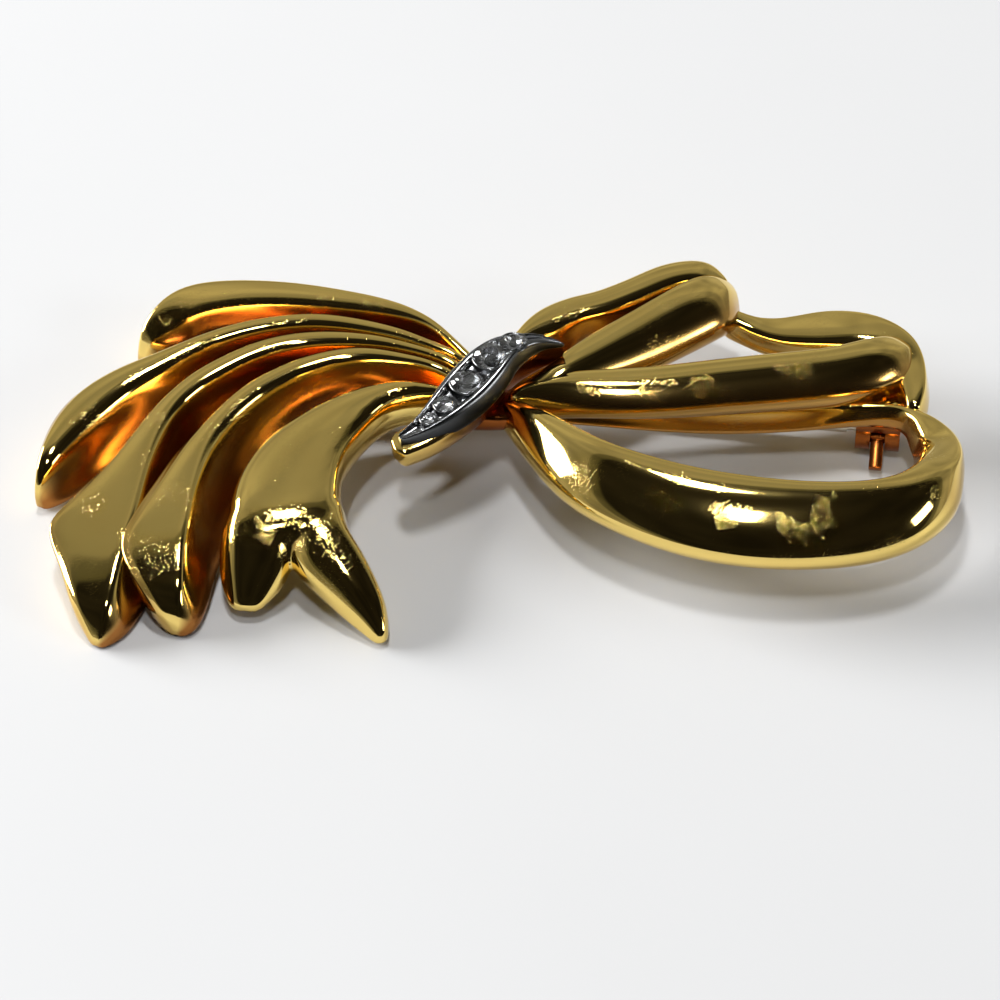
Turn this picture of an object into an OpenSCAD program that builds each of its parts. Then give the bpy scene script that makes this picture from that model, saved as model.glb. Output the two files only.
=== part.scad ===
// Bow brooch, lying on its back: five ribbon tails, a knot and three loops, all one casting,
// with a set plate of clear stones over the knot and a pin and catch behind.
// Origin under the middle of the bow on the surface it lies on, +X towards the loops,
// -Y towards the front tails, +Z up out of the face.

/* [Bow] */
// Length from the outermost tail tip to the end of the front loop
bow_l = 60; // [57:0.2:63]
// Depth from the back tail to the tips of the front tails
bow_d = 30; // [28:0.2:32]
// Height of the folds' crests above the surface
crest_z = 7; // [6.6:0.1:7.4]
// Width of a tail where it is broadest
tail_w = 5; // [4.6:0.1:5.4]
// Width of the front loop's ribbon where it is broadest
loop_w = 5; // [4.6:0.1:5.4]
// Width of the rounded crest along a tail's fold
tail_crest_w = 0.8; // [0.6:0.05:1]
// Width of the rounded crest along a loop
loop_crest_w = 0.7; // [0.5:0.05:0.9]
// Depth of the hollow along the back of each ribbon
back_hollow = 0.5; // [0.2:0.1:0.6]

/* [Knot] */
// Length of the knot from tip to tip, along X
knot_l = 10.9; // [10.4:0.1:11.4]
// Width of the set plate at its broadest
plate_w = 3.2; // [2.9:0.1:3.4]
// Height of the set plate's upper face above the surface, at its highest
knot_z = 8.5; // [8.2:0.1:8.9]
// Thickness of the set plate
plate_t = 0.9; // [0.85:0.05:1.1]
// Diameter of the bead along the plate's edges
plate_rim_d = 0.5; // [0.4:0.05:0.6]
// How far the gold knot stands out round the plate
knot_lip = 0.3; // [0.2:0.05:0.35]
// Height of the gold knot under the plate, at its thin ends
knot_base_h = 1.2; // [1:0.1:1.5]

/* [Stones] */
// Diameter of the largest stone
stone_d = 2.1; // [1.9:0.05:2.2]
// Width of a stone's table, as a share of its diameter
stone_table = 0.56; // [0.5:0.01:0.6]
// Height of a stone's crown, as a share of its diameter
stone_crown = 0.15; // [0.12:0.01:0.18]
// Depth of a stone below its girdle, as a share of its diameter
stone_pavilion = 0.26; // [0.2:0.01:0.28]

/* [Pin] */
// Diameter of the pin's shank
pin_d = 0.94; // [0.92:0.01:0.98]
// Diameter of the pin's ground-down nose, which the catch holds
nose_d = 0.6; // [0.56:0.01:0.62]
// Length from the hinge's axis to the pin's point
pin_l = 33.2; // [33:0.1:34]
// Length of the tapered point
point_l = 1.8; // [1.4:0.1:2.2]
// Height of the pin's axis above the surface
pin_z = 1.5; // [1.46:0.02:1.6]
// Angle that the pin runs at from the bow's length, degrees
pin_turn = 7; // [0:1:8]
// Diameter of the pin's eye
eye_d = 1.8; // [1.7:0.05:1.85]
// Width of the pin's eye, a little more than the shank's
eye_w = 1; // [1:0.02:1.1]
// Diameter of the hinge's rivet
rivet_d = 0.7; // [0.6:0.05:0.8]
// Thickness of each ear of the hinge
ear_t = 0.5; // [0.4:0.05:0.6]

/* [Catch] */
// Outer diameter of the catch's two cheeks
cheek_d = 2.9; // [2.7:0.05:2.92]
// Thickness of each cheek
cheek_t = 0.95; // [0.8:0.05:1.1]
// Diameter of the roller
roller_d = 1.9; // [1.8:0.05:2]
// Length of the lever's tab from the roller's axis
tab_l = 3; // [2.7:0.05:3.1]
// Width of the tab, along the roller
tab_w = 0.85; // [0.7:0.05:1]
// Thickness of the tab
tab_t = 0.5; // [0.4:0.05:0.6]
// Thickness of the soldered foot of the hinge and of the catch
foot_t = 0.5; // [0.46:0.02:0.52]

/* [Clearances] */
// Radial clearance of what turns in a bore
run_gap = 0.05; // [0.03:0.01:0.08]
// Radial clearance of the rivet in the hinge's ears
rivet_gap = 0.02; // [0.01:0.01:0.03]
// Clearance on each side of the eye and of the tab
side_gap = 0.06; // [0.04:0.01:0.1]
// Clearance round the pin's nose in the slots
slot_gap = 0.08; // [0.06:0.01:0.1]
// Solder gap between a foot and the pad it sits on
seat_gap = 0.04; // [0.02:0.01:0.08]
// Gap between the set plate and the gold knot
plate_gap = 0.05; // [0.03:0.01:0.08]
// Gap between a stone and its seat
stone_gap = 0.04; // [0.03:0.01:0.06]

/* [Hidden] */
half_l = bow_l / 2;
half_d = bow_d / 2;
half_knot = knot_l / 2;
// Rings worked out between two rows of a ribbon's table
ring_steps = 2;
// Points on each flank of a ribbon's section
flank_steps = 3;

// Columns of a ribbon's table, a row for each section along its fold. x and y place the crest as
// shares of half_l and half_d. top is the crest's height, foot_l and foot_r the heights of the left
// and right edges and base the underside's height, as shares of crest_z. left and right are the
// widths on each side of the crest, seen along the run, as shares of the ribbon's width. full is
// the flanks' form: below 0 they hollow into a groove, above 0 they bulge.
X = 0;
Y = 1;
TOP = 2;
LEFT = 3;
RIGHT = 4;
FOOT_L = 5;
FOOT_R = 6;
BASE = 7;
FULL = 8;

// x, y, top, left, right, foot_l, foot_r, base, full
tail_1 = [
    [-.030, .320, .80, .13, .13, .54, .54, .47, 0],
    [-.093, .447, .90, .18, .18, .60, .60, .46, -.3],
    [-.150, .573, .93, .22, .18, .60, .60, .46, -.4],
    [-.223, .673, .93, .28, .18, .60, .63, .46, -.4],
    [-.317, .753, .90, .36, .20, .57, .61, .43, -.4],
    [-.437, .840, .84, .44, .22, .53, .57, .39, -.3],
    [-.550, .903, .76, .54, .22, .44, .51, .30, -.2],
    [-.647, .937, .67, .64, .20, .33, .43, .19, -.1],
    [-.710, .933, .57, .70, .18, .21, .33, .09, 0],
    [-.753, .893, .44, .64, .16, .13, .21, .03, .2],
    [-.783, .813, .30, .40, .12, .09, .11, 0, .4],
    [-.793, .740, .14, .16, .06, .06, .06, 0, .4],
];
tail_2 = [
    [-.027, .273, .80, .13, .13, .54, .54, .47, 0],
    [-.087, .367, .91, .16, .16, .61, .61, .46, -.4],
    [-.150, .433, .93, .16, .16, .61, .61, .46, -.4],
    [-.217, .507, .93, .18, .18, .60, .60, .46, -.4],
    [-.303, .580, .90, .22, .20, .58, .59, .43, -.4],
    [-.393, .627, .87, .28, .22, .54, .56, .40, -.4],
    [-.480, .627, .84, .32, .26, .49, .53, .36, -.4],
    [-.567, .600, .80, .38, .32, .42, .47, .30, -.4],
    [-.653, .547, .74, .46, .38, .36, .38, .23, -.4],
    [-.737, .473, .67, .58, .40, .28, .31, .17, -.3],
    [-.817, .400, .59, .70, .30, .20, .28, .11, -.2],
    [-.887, .307, .47, .74, .24, .15, .23, .07, -.1],
    [-.940, .187, .34, .60, .18, .11, .17, .04, 0],
    [-.973, .040, .20, .34, .10, .08, .11, .03, .2],
    [-.987, -.090, .09, .08, .04, .05, .05, .02, .4],
];
tail_3 = [
    [-.030, .227, .80, .13, .13, .54, .54, .47, 0],
    [-.103, .327, .93, .14, .14, .61, .61, .46, -.4],
    [-.213, .440, .91, .18, .16, .60, .60, .46, -.4],
    [-.303, .493, .89, .22, .18, .57, .59, .43, -.4],
    [-.407, .513, .86, .28, .20, .52, .54, .40, -.4],
    [-.500, .480, .83, .34, .22, .46, .50, .36, -.4],
    [-.577, .407, .79, .38, .24, .40, .44, .30, -.4],
    [-.650, .307, .74, .42, .26, .34, .39, .26, -.3],
    [-.707, .160, .69, .46, .26, .26, .37, .20, -.2],
    [-.737, -.013, .63, .50, .34, .19, .41, .14, 0],
    [-.753, -.193, .56, .50, .62, .13, .34, .10, .1],
    [-.767, -.373, .49, .48, .92, .09, .27, .07, .2],
    [-.780, -.493, .41, .46, 1.04, .07, .19, .04, .3],
    [-.797, -.653, .33, .40, .74, .05, .13, .01, .4],
    [-.817, -.840, .22, .28, .42, .04, .09, 0, .4],
    [-.833, -.973, .08, .06, .08, .03, .03, 0, .4],
];
tail_4 = [
    [-.033, .183, .80, .13, .13, .54, .54, .47, 0],
    [-.127, .287, .93, .14, .14, .61, .61, .46, -.4],
    [-.213, .360, .91, .18, .16, .60, .60, .46, -.4],
    [-.300, .400, .89, .30, .18, .57, .59, .43, -.4],
    [-.387, .373, .86, .42, .20, .50, .54, .40, -.4],
    [-.463, .307, .83, .50, .24, .44, .50, .36, -.4],
    [-.537, .200, .79, .54, .26, .37, .43, .30, -.3],
    [-.590, .067, .74, .56, .28, .31, .39, .24, -.2],
    [-.627, -.087, .69, .58, .34, .25, .41, .19, -.1],
    [-.643, -.267, .61, .54, .54, .20, .36, .13, .1],
    [-.653, -.440, .54, .46, .74, .15, .29, .09, .2],
    [-.660, -.573, .46, .40, .82, .11, .20, .06, .3],
    [-.663, -.720, .34, .34, .54, .08, .14, .03, .4],
    [-.667, -.840, .19, .24, .26, .07, .09, .01, .4],
    [-.670, -.907, .08, .06, .06, .04, .04, .01, .4],
];
// The front tail is one broad ribbon whose end parts into two lobes
tail_5 = [
    [-.063, .163, .80, .14, .14, .54, .54, .47, 0],
    [-.180, .193, .89, .22, .20, .63, .63, .46, .3],
    [-.257, .160, .87, .30, .28, .61, .61, .43, .4],
    [-.323, .073, .84, .42, .42, .60, .57, .39, .5],
    [-.380, -.047, .83, .52, .52, .59, .53, .34, .5],
    [-.417, -.187, .81, .58, .60, .59, .49, .30, .5],
    [-.437, -.333, .79, .66, .66, .57, .43, .27, .5],
    [-.440, -.487, .72, .70, .70, .50, .37, .23, .6],
    [-.437, -.600, .63, .72, .70, .40, .29, .19, .6],
    [-.433, -.660, .50, .60, .56, .30, .25, .17, .6],
];
tail_5_left = [
    [-.487, -.400, .66, .30, .34, .50, .40, .22, .7],
    [-.503, -.547, .65, .40, .36, .42, .31, .18, .7],
    [-.513, -.667, .57, .42, .34, .32, .23, .13, .7],
    [-.523, -.760, .42, .32, .28, .21, .16, .09, .7],
    [-.530, -.827, .20, .12, .12, .12, .12, .06, .6],
];
tail_5_right = [
    [-.380, -.400, .68, .36, .40, .46, .50, .22, .7],
    [-.353, -.573, .67, .28, .46, .37, .44, .19, .7],
    [-.320, -.713, .60, .26, .42, .27, .34, .14, .7],
    [-.290, -.820, .48, .26, .34, .19, .24, .09, .7],
    [-.260, -.907, .30, .20, .24, .13, .15, .04, .7],
    [-.237, -.967, .12, .06, .08, .06, .06, 0, .6],
];
// Each back loop is a front strand and a back strand, which meet at the loop's end
loop_1_front = [
    [.018, .160, .80, .12, .13, .57, .57, .47, 0],
    [.100, .227, .93, .14, .28, .77, .60, .46, .6],
    [.157, .320, .99, .14, .34, .83, .61, .44, .8],
    [.230, .447, 1, .16, .38, .86, .61, .43, .8],
    [.310, .573, 1.01, .16, .42, .86, .61, .43, .8],
    [.387, .693, 1.03, .16, .46, .86, .63, .43, .8],
    [.450, .787, 1, .22, .46, .79, .63, .43, .8],
    [.497, .840, .90, .22, .36, .69, .59, .43, .7],
    [.527, .860, .74, .12, .18, .60, .56, .44, .5],
];
loop_1_back = [
    [.507, .840, .84, .14, .14, .63, .63, .43, .5],
    [.463, .887, .96, .14, .14, .66, .66, .43, .5],
    [.417, .893, .99, .14, .14, .66, .66, .43, .5],
    [.360, .853, 1, .14, .14, .66, .66, .43, .5],
    [.300, .780, .99, .14, .14, .66, .66, .43, .5],
    [.223, .707, .96, .14, .14, .66, .66, .43, .5],
    [.167, .680, .94, .14, .16, .64, .64, .43, .5],
    [.100, .613, .91, .14, .18, .61, .61, .44, .4],
    [.043, .507, .86, .18, .18, .60, .60, .46, .2],
    [-.007, .350, .77, .12, .12, .57, .57, .47, 0],
];
loop_2_front = [
    [.017, .167, .83, .12, .13, .57, .57, .47, 0],
    [.117, .207, .93, .16, .28, .77, .63, .51, .6],
    [.220, .200, .97, .16, .30, .80, .63, .51, .8],
    [.337, .207, .99, .16, .32, .80, .63, .51, .8],
    [.470, .247, 1, .18, .36, .80, .63, .50, .8],
    [.603, .287, 1, .18, .38, .80, .63, .50, .8],
    [.720, .320, 1, .20, .40, .80, .63, .50, .8],
    [.803, .380, .99, .24, .46, .77, .63, .49, .8],
    [.863, .447, .91, .24, .38, .71, .61, .47, .7],
    [.900, .493, .77, .16, .20, .66, .60, .46, .5],
];
loop_2_back = [
    [.887, .133, .60, .16, .14, .51, .51, .43, .3],
    [.907, .260, .69, .20, .14, .54, .54, .43, .3],
    [.913, .380, .77, .28, .12, .57, .57, .43, .2],
    [.897, .493, .84, .36, .14, .57, .60, .43, .1],
    [.853, .587, .87, .40, .14, .57, .60, .43, 0],
    [.787, .653, .86, .40, .14, .56, .60, .43, 0],
    [.707, .687, .80, .38, .14, .54, .57, .43, 0],
    [.627, .687, .71, .32, .14, .53, .54, .43, .1],
    [.560, .713, .67, .24, .14, .53, .54, .43, .2],
    [.500, .767, .71, .20, .14, .54, .54, .43, .3],
];
// The front loop runs all the way round and back under the middle loop
loop_3 = [
    [.010, .173, .74, .12, .12, .63, .57, .47, 0],
    [.077, .040, .87, .12, .34, .76, .60, .44, .6],
    [.150, -.110, .94, .12, .54, .86, .61, .42, .8],
    [.223, -.233, .99, .12, .70, .89, .62, .40, .8],
    [.317, -.327, 1, .12, .82, .90, .62, .39, .8],
    [.423, -.400, 1, .12, .90, .90, .62, .37, .8],
    [.537, -.450, 1, .12, .92, .90, .62, .37, .8],
    [.653, -.477, 1, .12, .86, .90, .62, .37, .8],
    [.763, -.473, 1, .12, .76, .90, .62, .37, .8],
    [.850, -.427, .97, .12, .62, .87, .61, .39, .8],
    [.920, -.340, .93, .12, .42, .83, .61, .40, .8],
    [.958, -.237, .87, .12, .22, .77, .61, .41, .6],
    [.960, -.140, .81, .10, .13, .71, .61, .42, .4],
    [.943, -.030, .74, .09, .12, .66, .60, .43, .4],
    [.915, .080, .69, .09, .12, .61, .57, .43, .4],
    [.873, .160, .64, .12, .16, .57, .54, .43, .4],
    [.793, .193, .63, .18, .20, .56, .54, .43, .4],
    [.667, .193, .63, .24, .20, .56, .54, .43, .4],
    [.500, .180, .63, .24, .20, .56, .54, .43, .4],
    [.333, .180, .63, .24, .20, .56, .54, .43, .4],
    [.167, .193, .63, .24, .22, .56, .54, .43, .4],
    [.023, .180, .66, .13, .13, .56, .54, .47, .2],
];

// Columns of the knot's table, a row for each section from its back tip to its front tip: AT_X from
// the knot's middle and AT_Y as shares of half_knot, BROAD as a share of plate_w, FACE the height of
// the plate's face as a share of knot_z, THICK as a share of plate_t, LIP as a share of knot_lip and
// DEPTH, of the gold under the plate, as a share of knot_base_h
AT_X = 0;
AT_Y = 1;
BROAD = 2;
FACE = 3;
THICK = 4;
LIP = 5;
DEPTH = 6;
// at_x, at_y, broad, face, thick, lip, depth
knot_rows = [
    [.970, .868, .10, .935, .45, .5, 1.3],
    [.706, .900, .28, .975, .60, .7, 2.0],
    [.450, .825, .50, 1.000, .80, 1, 2.5],
    [.230, .700, .78, 1.000, .95, 1, 2.9],
    [.028, .495, .98, .965, 1.00, 1, 3.2],
    [-.193, .240, 1.00, .910, 1.00, 1, 2.5],
    [-.413, -.020, .82, .868, .95, 1, 1.4],
    [-.660, -.240, .54, .812, .80, 1.2, 1.0],
    [-.880, -.375, .28, .765, .60, 1.7, .85],
    [-.975, -.415, .14, .745, .50, 2.2, .75],
];
knot_x = -1.05;
// The casting's solid middle behind the knot: at_x and at_y as shares of half_knot, r of plate_w
core_posts = [
    [-.24, .385, .36],
    [.165, .42, .39],
    [-.09, .955, .37],
];
core_z = 2.95;
core_h = 1.65;
// Slope of the casting's upright walls, mm in each mm of height
draft = 0.03;

// The stones' places: k counts along the knot's rows, d is the diameter as a share of stone_d
K = 0;
D = 1;
stone_rows = [
    [2.36, .80],
    [3.66, 1],
    [4.92, .98],
    [6.08, .62],
    [6.86, .42],
];

catch_x = half_l * .825;
catch_y = half_d * .243;
// From the catch back to the hinge's axis, along the pin
hinge_back = half_l * 1.04;
pad_z = crest_z * .43 - seat_gap;
foot_top = pad_z - seat_gap;
bore_r = roller_d / 2 + run_gap;
slot_w = nose_d + 2 * slot_gap;
catch_w = 2 * cheek_t + tab_w + 2 * side_gap;
ear_gap = eye_w + 2 * side_gap;
hinge_w = ear_gap + 2 * ear_t;
roll_open = 120;
tab_angle = 70;
// How far what is cut away reaches past the metal, so that no skin is left
past = 1;

// A point between rows b and c, at share t, on a smooth curve through a, b, c and d
function between(a, b, c, d, t) =
    0.5 * (2 * b + (c - a) * t + (2 * a - 5 * b + 4 * c - d) * t * t
    + (3 * b - a - 3 * c + d) * t * t * t);
function row_at(rows, i) = rows[max(0, min(len(rows) - 1, i))];
function along(rows, k) =
    let (i = min(floor(k), len(rows) - 2))
    between(row_at(rows, i - 1), row_at(rows, i), row_at(rows, i + 1), row_at(rows, i + 2), k - i);
function smooth_rows(rows, steps) =
    [for (i = [0 : (len(rows) - 1) * steps]) along(rows, i / steps)];

// Flank points from the crest's edge (a0, z0) out to the foot (a1, z1)
function flank(a0, a1, z0, z1, full) = [
    for (i = [1 : flank_steps])
        let (s = i / flank_steps)
        [a0 + (a1 - a0) * pow(s, full > 0 ? 1 - 0.35 * full : 1 - full),
         z0 + (z1 - z0) * pow(s, full > 0 ? 1 + 1.4 * full : 1 + 0.25 * full)]
];
function turned(points) = [for (i = [len(points) - 1 : -1 : 0]) points[i]];

// One section of a ribbon: pairs of the distance to the left of the crest and the height
function section(row, width, crest_w) =
    let (top = row[TOP] * crest_z, base = row[BASE] * crest_z,
         left = row[LEFT] * width, right = row[RIGHT] * width,
         c = min(crest_w / 2, 0.45 * left, 0.45 * right),
         low_l = row[FOOT_L] * crest_z, low_r = row[FOOT_R] * crest_z,
         shoulder = top - 0.3 * c,
         hollow = min(back_hollow, 0.25 * (top - base), 0.12 * (left + right)))
    concat(
        [[0, top]],
        [[c, shoulder]],
        flank(c, left, shoulder, low_l, row[FULL]),
        [[0.9 * left, base + 0.35 * (low_l - base)]],
        [[0.7 * left, base]],
        [[(left - right) / 2, base + hollow]],
        [[-0.7 * right, base]],
        [[-0.9 * right, base + 0.35 * (low_r - base)]],
        turned(flank(-c, -right, shoulder, low_r, row[FULL])),
        [[-c, shoulder]]
    );

// The faces of a skin over rings of k points, with flat ends
function skin_faces(rings, k) = concat(
    [[for (j = [0 : k - 1]) k - 1 - j]],
    [[for (j = [0 : k - 1]) (rings - 1) * k + j]],
    [for (i = [0 : rings - 2], j = [0 : k - 1]) [i * k + j, i * k + (j + 1) % k, (i + 1) * k + j]],
    [for (i = [0 : rings - 2], j = [0 : k - 1])
        [i * k + (j + 1) % k, (i + 1) * k + (j + 1) % k, (i + 1) * k + j]]
);

module ribbon(rows, width, crest_w) {
    path = smooth_rows(rows, ring_steps);
    n = len(path);
    k = len(section(path[0], width, crest_w));
    points = [
        for (i = [0 : n - 1])
            let (from = path[max(i - 1, 0)], to = path[min(i + 1, n - 1)],
                 run_x = (to[X] - from[X]) * half_l, run_y = (to[Y] - from[Y]) * half_d,
                 run = norm([run_x, run_y]))
            for (p = section(path[i], width, crest_w))
                [path[i][X] * half_l - p[0] * run_y / run,
                 path[i][Y] * half_d + p[0] * run_x / run,
                 p[1]]
    ];
    polyhedron(points, skin_faces(n, k));
}

module tails() {
    ribbon(tail_1, tail_w, tail_crest_w);
    ribbon(tail_2, tail_w, tail_crest_w);
    ribbon(tail_3, tail_w, tail_crest_w);
    ribbon(tail_4, tail_w, tail_crest_w);
    ribbon(tail_5, tail_w, tail_crest_w);
    ribbon(tail_5_left, tail_w, tail_crest_w);
    ribbon(tail_5_right, tail_w, tail_crest_w);
}

module loops() {
    ribbon(loop_1_front, loop_w, loop_crest_w);
    ribbon(loop_1_back, loop_w, loop_crest_w);
    ribbon(loop_2_front, loop_w, loop_crest_w);
    ribbon(loop_2_back, loop_w, loop_crest_w);
    ribbon(loop_3, loop_w, loop_crest_w);
}

function knot_place(row) = [knot_x + row[AT_X] * half_knot, row[AT_Y] * half_knot, row[FACE] * knot_z];

// A disc of the plate at row k, grown all round by grow and upwards by rise
module plate_disc(k, grow, rise) {
    row = along(knot_rows, k);
    h = row[THICK] * plate_t + grow;
    translate(knot_place(row) - [0, 0, h])
        cylinder(h = h + rise, r = row[BROAD] * plate_w / 2 + grow, $fn = 24);
}

// The plate's shape, or the room that it needs in the casting
module plate_bar(grow, rise) {
    for (k = [0 : len(knot_rows) - 2]) {
        hull() {
            plate_disc(k, grow, rise);
            plate_disc(k + 1, grow, rise);
        }
    }
}

// The solid middle of the casting, where the ribbons meet behind the knot
module knot_core() {
    hull() {
        for (post = core_posts) {
            translate([post[AT_X] * half_knot, post[AT_Y] * half_knot, core_z])
                cylinder(h = core_h, r1 = post[BROAD] * plate_w,
                         r2 = post[BROAD] * plate_w - core_h * draft, $fn = 24);
        }
    }
}

// The gold knot: a curved bar under the plate, deepest where the ribbons meet
module knot_base() {
    for (k = [0 : len(knot_rows) - 2]) {
        hull() {
            for (row = [knot_rows[k], knot_rows[k + 1]]) {
                h = row[DEPTH] * knot_base_h;
                r = row[BROAD] * plate_w / 2 + row[LIP] * knot_lip;
                translate(knot_place(row) - [0, 0, row[THICK] * plate_t + h])
                    cylinder(h = h, r1 = r - h * draft, r2 = r, $fn = 24);
            }
        }
    }
}

// Places what is drawn along X behind the bow, the catch's middle at X 0 and the hinge at -hinge_back
module on_pin_line() {
    translate([catch_x, catch_y, 0]) rotate([0, 0, -pin_turn]) children();
}

// A flat pad under the ribbons for a soldered foot
module pad(x, w, d) {
    on_pin_line() translate([x - w / 2, -d / 2, pad_z])
        cube([w, d, crest_z * .60 - pad_z]);
}

module bow_casting() {
    color("goldenrod") difference() {
        union() {
            tails();
            loops();
            knot_base();
            knot_core();
            pad(-hinge_back, eye_d + 0.8, hinge_w + 0.8);
            pad(0, catch_w + 0.4, cheek_d);
        }
        plate_bar(plate_gap, past);
    }
}

function stone_place(i) =
    knot_place(along(knot_rows, stone_rows[i][K]));
function stone_size(i) = stone_rows[i][D] * stone_d;

// The beads along one edge of the plate
module plate_rim(side) {
    steps = 2 * (len(knot_rows) - 1);
    path = smooth_rows(knot_rows, 2);
    edge = [
        for (i = [0 : steps])
            let (from = path[max(i - 1, 0)], to = path[min(i + 1, steps)],
                 run = norm([to[AT_X] - from[AT_X], to[AT_Y] - from[AT_Y]]),
                 off = side * max(path[i][BROAD] * plate_w / 2 - plate_rim_d / 2, 0))
            knot_place(path[i])
                + [-off * (to[AT_Y] - from[AT_Y]) / run, off * (to[AT_X] - from[AT_X]) / run, 0]
    ];
    for (i = [0 : steps - 1]) {
        hull() {
            translate(edge[i]) sphere(d = plate_rim_d, $fn = 8);
            translate(edge[i + 1]) sphere(d = plate_rim_d, $fn = 8);
        }
    }
}

module knot_plate() {
    color("dimgray") difference() {
        union() {
            plate_bar(0, 0);
            plate_rim(1);
            plate_rim(-1);
        }
        for (i = [0 : len(stone_rows) - 1]) {
            deep = stone_pavilion * stone_size(i) + stone_gap;
            translate(stone_place(i) - [0, 0, deep])
                cylinder(h = deep + past, d = stone_size(i) + 2 * stone_gap, $fn = 24);
        }
    }
}

// A round stone: an eight-sided table, a sixteen-sided girdle and a point below
module stone(i) {
    d = stone_size(i);
    color("white") translate(stone_place(i)) hull() {
        translate([0, 0, stone_crown * d - 0.01]) rotate([0, 0, 22.5])
            cylinder(h = 0.01, d = stone_table * d, $fn = 8);
        translate([0, 0, stone_crown * d * 0.55]) cylinder(h = 0.01, d = 0.8 * d, $fn = 8);
        translate([0, 0, -0.02 * d]) cylinder(h = 0.04 * d, d = d, $fn = 16);
        translate([0, 0, -stone_pavilion * d]) cylinder(h = 0.01, d = 0.12 * d, $fn = 8);
    }
}
module stone_1() { stone(0); }
module stone_2() { stone(1); }
module stone_3() { stone(2); }
module stone_4() { stone(3); }
module stone_5() { stone(4); }

// A cylinder along Y about the hinge's axis
module across(d, w) {
    rotate([90, 0, 0]) cylinder(h = w, d = d, center = true, $fn = 48);
}

// The hinge: a foot and two ears, drilled for the rivet
module pin_hinge() {
    color("goldenrod") on_pin_line() translate([-hinge_back, 0, 0]) difference() {
        union() {
            translate([-eye_d / 2, -hinge_w / 2, foot_top - foot_t])
                cube([eye_d, hinge_w, foot_t]);
            for (side = [-1, 1]) {
                translate([0, side * (ear_gap + ear_t) / 2, pin_z]) across(eye_d, ear_t);
                translate([-eye_d / 2, side * (ear_gap + ear_t) / 2 - ear_t / 2, pin_z])
                    cube([eye_d, ear_t, foot_top - foot_t / 2 - pin_z]);
            }
        }
        translate([0, 0, pin_z]) across(rivet_d + 2 * rivet_gap, hinge_w + past);
    }
}

module hinge_rivet() {
    color("goldenrod") on_pin_line() translate([-hinge_back, 0, pin_z]) across(rivet_d, hinge_w);
}

// The pin: an eye on the rivet, a shank, a nose for the catch and a point
module pin_stem() {
    shank_l = hinge_back - catch_w / 2 - 0.6;
    nose_l = pin_l - shank_l - point_l;
    color("silver") on_pin_line() translate([-hinge_back, 0, pin_z]) difference() {
        union() {
            across(eye_d, eye_w);
            rotate([0, 90, 0]) cylinder(h = shank_l, d = pin_d, $fn = 32);
            translate([shank_l, 0, 0]) rotate([0, 90, 0]) cylinder(h = nose_l, d = nose_d, $fn = 32);
            translate([shank_l + nose_l, 0, 0]) rotate([0, 90, 0])
                cylinder(h = point_l, d1 = nose_d, d2 = 0.1, $fn = 32);
        }
        across(rivet_d + 2 * run_gap, eye_w + past);
    }
}

// The catch: a foot and two cheeks, bored for the roller and slit below for the pin
module pin_catch() {
    color("goldenrod") on_pin_line() difference() {
        union() {
            translate([-catch_w / 2, -cheek_d / 2, foot_top - foot_t])
                cube([catch_w, cheek_d, foot_t]);
            for (side = [-1, 1]) {
                translate([side * (catch_w - cheek_t) / 2 - cheek_t / 2, 0, pin_z])
                    rotate([0, 90, 0]) cylinder(h = cheek_t, d = cheek_d, $fn = 64);
            }
        }
        translate([0, 0, pin_z]) rotate([0, 90, 0])
            cylinder(h = catch_w + past, r = bore_r, center = true, $fn = 64);
        translate([-catch_w, -slot_w / 2, pin_z - cheek_d]) cube([2 * catch_w, slot_w, cheek_d]);
    }
}

// The catch's lever: a roller slit to its middle, turned by a tab between the cheeks
module catch_lever() {
    color("darkgoldenrod") on_pin_line() translate([0, 0, pin_z]) difference() {
        union() {
            rotate([0, 90, 0]) cylinder(h = catch_w, d = roller_d, center = true, $fn = 64);
            rotate([-tab_angle, 0, 0]) translate([-tab_w / 2, -tab_t / 2, -tab_l])
                cube([tab_w, tab_t, tab_l - roller_d / 4]);
        }
        rotate([0, 90, 0]) cylinder(h = catch_w + past, d = slot_w, center = true, $fn = 32);
        rotate([-roll_open, 0, 0]) translate([-catch_w, -slot_w / 2, -roller_d])
            cube([2 * catch_w, slot_w, roller_d]);
    }
}

bow_casting();
knot_plate();
stone_1();
stone_2();
stone_3();
stone_4();
stone_5();
pin_hinge();
hinge_rivet();
pin_stem();
pin_catch();
catch_lever();
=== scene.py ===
"""Bow brooch: the looks of the gold-tone bow, its set plate, stones, pin and catch."""

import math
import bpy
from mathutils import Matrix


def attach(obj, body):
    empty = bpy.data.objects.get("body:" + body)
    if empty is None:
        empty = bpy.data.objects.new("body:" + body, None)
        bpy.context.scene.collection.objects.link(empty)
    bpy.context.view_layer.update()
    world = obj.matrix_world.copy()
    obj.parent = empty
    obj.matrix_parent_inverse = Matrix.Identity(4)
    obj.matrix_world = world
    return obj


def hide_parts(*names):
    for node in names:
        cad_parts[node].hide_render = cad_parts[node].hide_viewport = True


bl_info = {
    "name": "Bow Brooch",
    "version": (1, 0, 0),
    "blender": (4, 5, 0),
    "location": "View3D > Sidebar > Bow Brooch",
    "description": "Builds the bow brooch round its packed frame, piece by piece",
    "category": "Object",
}

import bmesh
import bpy
from mathutils import Matrix, Vector

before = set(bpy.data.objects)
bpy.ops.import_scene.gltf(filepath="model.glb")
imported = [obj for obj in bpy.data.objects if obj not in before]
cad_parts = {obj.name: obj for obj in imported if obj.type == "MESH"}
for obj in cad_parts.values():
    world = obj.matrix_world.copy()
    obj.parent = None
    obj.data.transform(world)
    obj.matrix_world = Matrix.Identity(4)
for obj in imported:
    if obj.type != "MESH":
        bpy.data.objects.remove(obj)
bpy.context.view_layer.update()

MM = 0.001

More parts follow.
